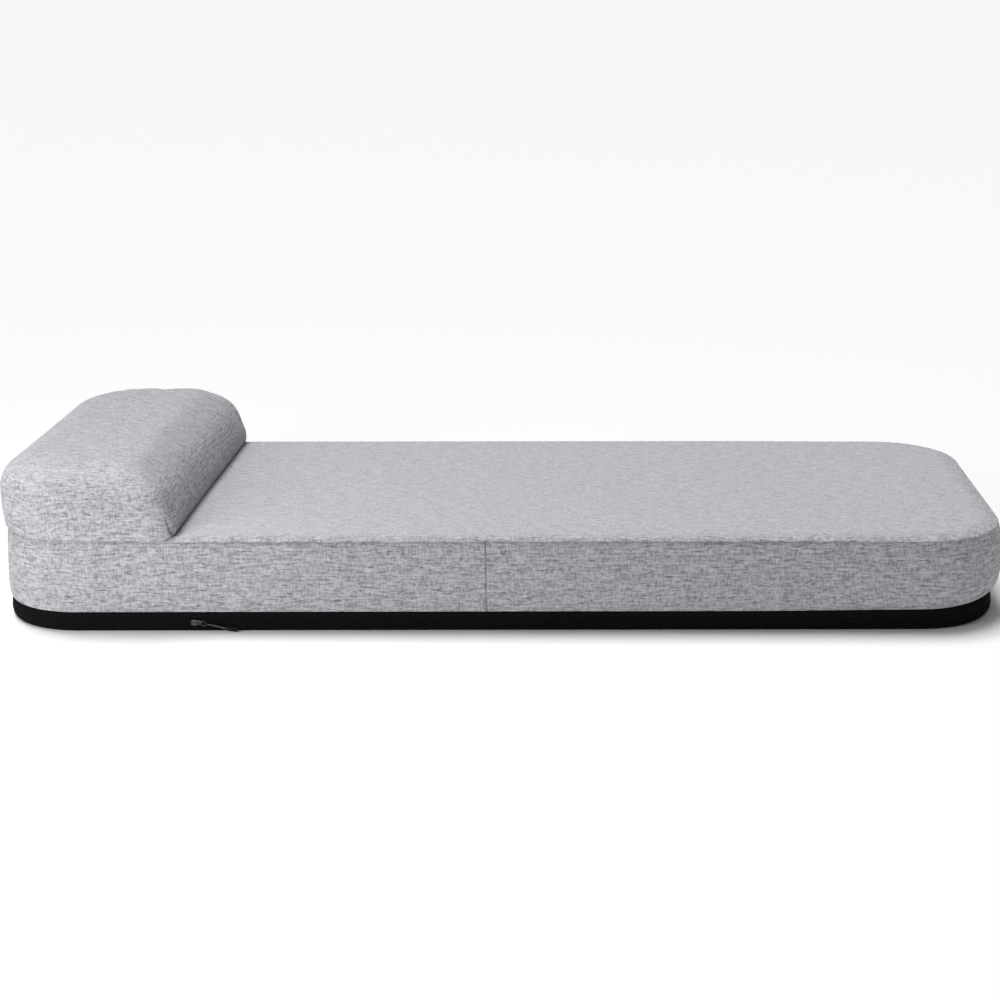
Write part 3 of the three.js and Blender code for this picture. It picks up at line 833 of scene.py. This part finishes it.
def makeCoil(material):
    # two rows of small teeth that interlock along the slit of the base; one tooth is a six-sided bead
    coil = {"pitch": 0.0026, "length": 0.0036, "depth": 0.0022, "width": 0.0015, "stagger": 0.0011,
            "sink": 0.0018, "endInset": 0.0042, "proud": 0.0007}
    inset = (bed["baseInset"] + coil["sink"]) * (1 - turned) + coil["endInset"] * turned
    line = outline - inset[:, None] * outward
    closed, closedNormal = np.vstack([line, line[:1]]), np.vstack([outward, outward[:1]])
    length = np.concatenate([[0], np.cumsum(np.linalg.norm(np.diff(closed, axis=0), axis=1))])
    count = int(length[-1] / coil["pitch"])
    at = np.arange(count) * length[-1] / count
    place = np.stack([np.interp(at, length, closed[:, k]) for k in (0, 1)], -1)[:, None, None]
    normal = np.stack([np.interp(at, length, closedNormal[:, k]) for k in (0, 1)], -1)[:, None, None]
    tangent = np.concatenate([-normal[..., 1:], normal[..., :1]], -1)
    ring = np.arange(6) * math.pi / 3
    level, swell = np.array([-0.5, -0.36, 0.36, 0.5]), np.array([0.45, 1.0, 1.0, 0.45])
    aside = np.outer(swell, np.cos(ring))[..., None] * coil["width"] / 2
    out = np.outer(swell, np.sin(ring))[..., None] * coil["depth"] / 2 + coil["proud"]
    xy = place + aside * tangent + out * normal
    stagger = np.where(np.arange(count) % 2 == 0, 1, -1)[:, None, None] * coil["stagger"]
    height = bed["zipZ"] + np.repeat((level * coil["length"])[:, None], 6, 1)[None] + stagger
    points = np.concatenate([xy, height[..., None]], -1).reshape(-1, 3)
    first = (np.arange(count) * 24)[:, None]
    sides = (np.array(ringFaces(6, 4))[None] + first[..., None]).reshape(-1, 4).tolist()
    caps = (np.arange(6)[::-1] + first).tolist() + (np.arange(18, 24) + first).tolist()
    return meshFrom("zipCoil", points, sides + caps, material)


def spread(t, power):
    # a sine or cosine pushed out towards 1, which squares the circle it draws
    return np.sign(t) * np.abs(t) ** power


def sweep(path, side, wide, thick, around=12, power=1.0, closed=False):
    # a rounded section carried along a path: wide along side, thick across it; power under 1 squares it
    path, side = np.asarray(path, float), np.broadcast_to(np.asarray(side, float), np.shape(path))
    if closed:
        tangent = np.roll(path, -1, 0) - np.roll(path, 1, 0)
    else:
        tangent = np.gradient(path, axis=0)
    tangent /= np.linalg.norm(tangent, axis=1, keepdims=True)
    other = np.cross(tangent, side)
    angle = np.arange(around) * 2 * math.pi / around
    wide, thick = np.broadcast_to(wide, len(path)), np.broadcast_to(thick, len(path))
    points = (path[:, None] + side[:, None] * (wide[:, None] * spread(np.cos(angle), power))[..., None]
              + other[:, None] * (thick[:, None] * spread(np.sin(angle), power))[..., None]).reshape(-1, 3)
    faces = ringFaces(around, len(path), closed)
    if not closed:
        faces += [list(range(around))[::-1], list(range(len(points) - around, len(points)))]
    return points, faces


def joined(name, shells, material):
    # several closed shells in one mesh, each turned to face out
    points = np.concatenate([shell[0] for shell in shells])
    starts = np.cumsum([0] + [len(shell[0]) for shell in shells])
    faces = [[i + start for i in face] for start, shell in zip(starts, shells) for face in shell[1]]
    piece = meshFrom(name, points, faces, material)
    work = bmesh.new()
    work.from_mesh(piece.data)
    bmesh.ops.recalc_face_normals(work, faces=work.faces)
    work.to_mesh(piece.data)
    work.free()
    return piece


def makeSlider(material):
    # two shield-shaped plates joined by a wedge, and a low bridge over the front one that holds the pull
    (x0, _, _), (x1, _, _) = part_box("zip_slider")
    z = bed["zipZ"]
    coilFace = -bed["halfWidth"] + bed["baseInset"]
    slider = {"halfHeight": 0.0054, "plate": 0.0011, "frontGap": 0.0015, "backGap": 0.0042,
              "neckPlace": 0.0035, "neckWide": 0.0028, "neckThick": 0.0011, "bridgePlace": 0.0105,
              "bridgeReach": 0.0072, "bridgeRise": 0.0042, "bridgeWide": 0.0015, "bridgeThick": 0.00055}
    share = np.array([0, 0.03, 0.10, 0.22, 0.38, 0.55, 0.72, 0.88, 0.96, 1.0])
    half = np.array([0.30, 0.62, 0.86, 0.99, 1.0, 0.92, 0.80, 0.74, 0.62, 0.30]) * slider["halfHeight"]
    full = np.array([0.35, 0.75, 0.95, 1, 1, 1, 1, 0.95, 0.75, 0.35]) * slider["plate"]
    x = x0 + (x1 - x0) * share

    def plate(y):
        return sweep(np.stack([x, np.full(10, y), np.full(10, z)], -1), (0, 0, 1), half, full, 16, 0.6)

    frontY, backY = coilFace - slider["frontGap"], coilFace + slider["backGap"]
    neck = np.stack([np.full(5, x0 + slider["neckPlace"]), np.linspace(frontY, backY, 5), np.full(5, z)], -1)
    neck = sweep(neck, (1, 0, 0), slider["neckWide"], slider["neckThick"], 8, 0.7)
    turn = np.linspace(0, math.pi, 15)
    arch = np.stack([x0 + slider["bridgePlace"] - slider["bridgeReach"] * np.cos(turn),
                     frontY - 0.0004 - slider["bridgeRise"] * np.sin(turn) ** 0.6, np.full(15, z)], -1)
    bridge = sweep(arch, (0, 0, 1), slider["bridgeWide"], slider["bridgeThick"], 10, 0.7)
    rails = [sweep(np.stack([x, np.full(10, frontY + 0.0012), z + side * half * 0.92], -1), (0, 0, 1), 0.0006,
                   0.0012, 8) for side in (-1, 1)]
    return joined("zipSlider", [plate(frontY), plate(backY), neck, bridge, *rails], material)


def makePull(cordLook, metalLook):
    # a wire ring round the bridge, a flat plait with a zigzag of stitches, and a moulded end
    pull = {"ringPlace": 0.0058, "ringLong": 0.0064, "ringTall": 0.0038, "ringDroop": 0.0010, "wire": 0.00085,
            "cordHalf": 0.0017, "tabHalf": 0.0019, "thick": 0.0011, "tabThick": 0.0003, "twists": 17,
            "stitchSpan": (0.06, 0.62), "stitchOut": 0.00115, "stitchTall": 0.0009, "stitches": 26,
            "thread": 0.0003}
    (x0, yFront, _), (_, yBack, _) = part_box("zip_pull")
    y, z, pinX = (yFront + yBack) / 2, bed["zipZ"], x0 + 0.002
    turn = np.linspace(0, 2 * math.pi, 28, endpoint=False)
    ring = np.stack([pinX + pull["ringPlace"] + pull["ringLong"] * np.cos(turn), np.full(28, y),
                     z - 0.0004 - pull["ringDroop"] * np.cos(turn) + pull["ringTall"] * np.sin(turn)], -1)
    wire = joined("pullRing", [sweep(ring, (0, 1, 0), pull["wire"], pull["wire"], 8, 1.0, True)], metalLook)
    t = np.linspace(0, 1, 46)
    knotX = np.array([0.0112, 0.020, 0.039, 0.054, 0.0700])
    knotZ = np.array([-0.0008, -0.0028, -0.0078, -0.0110, -0.0128])
    x = knotX[0] + (knotX[-1] - knotX[0]) * t
    path = np.stack([pinX + x, np.full(46, y), z + np.interp(x, knotX, knotZ)], -1)
    path[1:-1, 2] = (path[:-2, 2] + 2 * path[1:-1, 2] + path[2:, 2]) / 4
    tab = smoothStep(t, 0.66, 0.72)
    fade = 1 - 0.75 * smoothStep(t, 0.95, 1.0) - 0.3 * smoothStep(t, 0.05, 0.0)
    plaitWave = 1 + 0.08 * np.sin(t * 2 * math.pi * pull["twists"]) * (1 - tab)
    wide = (pull["cordHalf"] + pull["tabHalf"] * tab) * fade * plaitWave
    cord = sweep(path, (0, 1, 0), pull["thick"] + pull["tabThick"] * tab, wide, 12, 0.75)
    step = np.linspace(*pull["stitchSpan"], 60)
    sway = pull["stitchTall"] * np.sin(step * 2 * math.pi * pull["stitches"])
    zigzag = np.stack([np.interp(step, t, path[:, 0]), np.full(60, y - pull["stitchOut"]),
                       np.interp(step, t, path[:, 2]) + sway], -1)
    thread = sweep(zigzag, (0, 1, 0), pull["thread"], pull["thread"], 5)
    piece = joined("pullCord", [cord, thread], cordLook)
    stitch = np.zeros(len(piece.data.vertices))
    stitch[len(cord[0]):] = 1
    setAttribute(piece, "stitch", stitch)
    return wire, piece


makeCamera()
makeLights()
print("camera and lights")

looks = {
    "melange": makeMelange(),
    "black": makeBlackCloth(),
    "tape": makeZipTape(),
    "foam": makeFoam(),
    "powder": makePowderCoat(),
    "webbing": makeWebbing(),
    "steel": makeMetal("brightSteel", 0.62, 0.45, 0.2, 0.35, (60, 900, 900)),
    "zipMetal": makeMetal("zipMetal", 0.16, 0.07, 0.28, 0.46, (300, 1500, 1500)),
    "cord": makeCordCloth(),
}
print("materials:", len(looks))

sideBand = makeSideBand(looks["melange"])
topPanel = makeTopPanel(looks["melange"])
blackBase = makeBase(looks["black"])
mattressFoam = makeFoamBody(looks["foam"])
zipCoil = makeCoil(looks["tape"])
covers = (
    (sideBand, "grey_fabric", ("seat_side_band", "back_side_band", "fold_side_band_front",
                               "fold_side_band_rear")),
    (topPanel, "grey_fabric", ("seat_top_panel", "back_top_panel", "fold_top_strip")),
    (blackBase, "black_fabric", ("seat_base_panel", "back_base_panel", "fold_base_strip", "seat_black_band",
                                 "back_black_band", "fold_black_band_front", "fold_black_band_rear")),
    (mattressFoam, "foam", ("seat_edge_foam", "back_edge_foam", "seat_support_foam", "back_support_foam",
                            "seat_comfort_foam", "back_comfort_foam", "seat_under_pad", "back_under_pad",
                            "fold_foam")),
    (zipCoil, "zip_tape", ("seat_zip_tape_lower", "seat_zip_tape_upper", "back_zip_tape_lower",
                           "back_zip_tape_upper")),
)
for piece, slot, replaced in covers:
    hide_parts(*replaced)
    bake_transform(piece)
print("mattress made")

bolster = makeBolster(looks["melange"])
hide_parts("bolster_cover", "bolster_core")
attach(bolster, "back")
print("bolster made")

slider = makeSlider(looks["zipMetal"])
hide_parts("zip_slider")
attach(slider, "zip_slider")
pullRing, pullCord = makePull(looks["cord"], looks["zipMetal"])
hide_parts("zip_pull")
for piece in (pullRing, pullCord):
    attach(piece, "zip_pull")
print("zip made")

# what stays from the CAD gets its finish
finishes = {"foam": "foam", "frame_steel": "powder", "webbing": "webbing", "bright_steel": "steel",
            "zip_tape": "tape", "zip_metal": "zipMetal", "pull_cord": "cord", "grey_fabric": "melange",
            "black_fabric": "black"}
for part in frame["record"]["subparts"]:
    for spot in nodes[part["node"]].material_slots:
        spot.material = looks[finishes[part["material_slot"]]]

ground = {"reach": 200, "height": -0.0002, "color": (0.95, 0.95, 0.95, 1), "roughness": 0.9}
floorMesh = bpy.data.meshes.new("floor")
floorMesh.from_pydata([(x * ground["reach"], y * ground["reach"], ground["height"])
                       for x, y in ((-1, -1), (1, -1), (1, 1), (-1, 1))], [], [(0, 1, 2, 3)])
floorMesh.materials.append(Look("floor", Base_Color=ground["color"], Roughness=ground["roughness"]).material)
floor = bpy.data.objects.new("floor", floorMesh)
bpy.context.collection.objects.link(floor)
